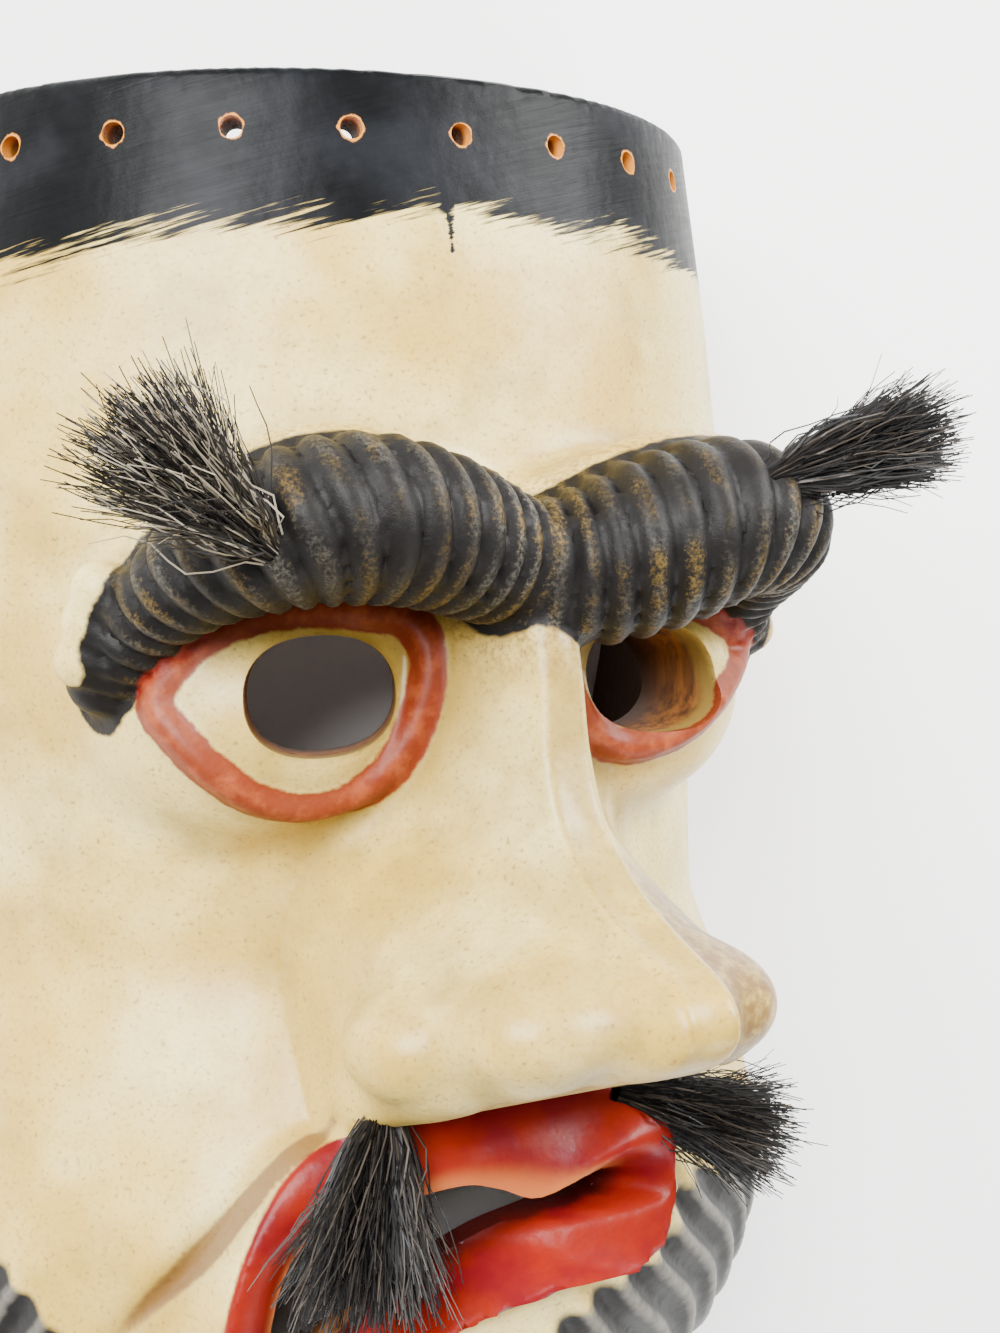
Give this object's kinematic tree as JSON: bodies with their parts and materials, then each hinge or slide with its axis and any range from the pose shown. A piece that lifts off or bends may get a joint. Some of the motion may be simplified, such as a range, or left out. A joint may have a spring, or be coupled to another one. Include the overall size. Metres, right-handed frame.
{
  "type": "carved carnival mask",
  "caption": "Hand-carved wooden carnival face mask, hollow behind, with ribbed brows, open eyes, hooked nose, crooked open mouth and pegged hair tufts.",
  "frame": {"origin": "under the middle of the open back, on the surface that the mask lies on", "axes": "+Z out of the face, +Y towards the top of the head, +X towards the wearer's left"},
  "size_m": [0.186, 0.27, 0.1458],
  "materials": {
    "painted_wood": "oil-painted and waxed, satin",
    "horsehair": "coarse natural bristle"
  },
  "bodies": {
    "root": {"mask_shell": "painted_wood", "brow_tuft_right": "horsehair", "brow_tuft_left": "horsehair", "moustache_tuft_right": "horsehair", "moustache_tuft_left": "horsehair"}
  },
  "joints": []
}
